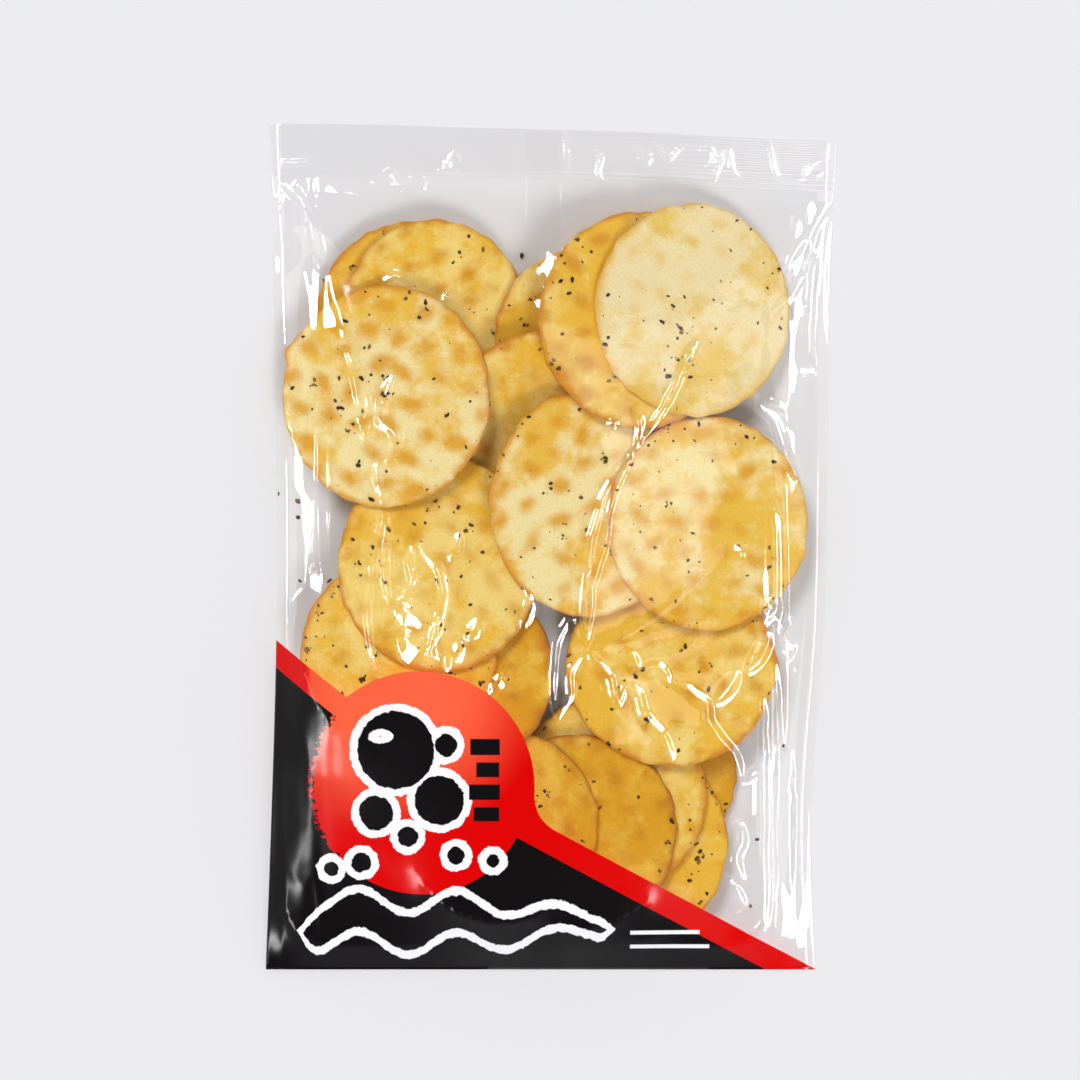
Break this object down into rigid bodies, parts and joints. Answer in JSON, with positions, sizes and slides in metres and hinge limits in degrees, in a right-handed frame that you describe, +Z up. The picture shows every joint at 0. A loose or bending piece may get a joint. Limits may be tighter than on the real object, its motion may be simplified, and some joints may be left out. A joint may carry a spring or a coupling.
{
  "type": "sealed clear bag of rice crackers",
  "caption": "Flat-lying pillow bag of clear film with a crimped head seal, drawn taut over a pile of thin round toasted rice crackers with pepper grains.",
  "frame": {"origin": "centre of the bag's footprint box, on the surface that the bag rests on", "axes": "+Z up through the shown side, +Y along the bag towards its crimped head seal, +X to the right of the shown side"},
  "size_m": [0.1724, 0.255, 0.0264],
  "materials": {
    "clear_film": "clear glossy film over golden crackers"
  },
  "bodies": {
    "root": {"sealed_bag": "clear_film"}
  },
  "joints": []
}
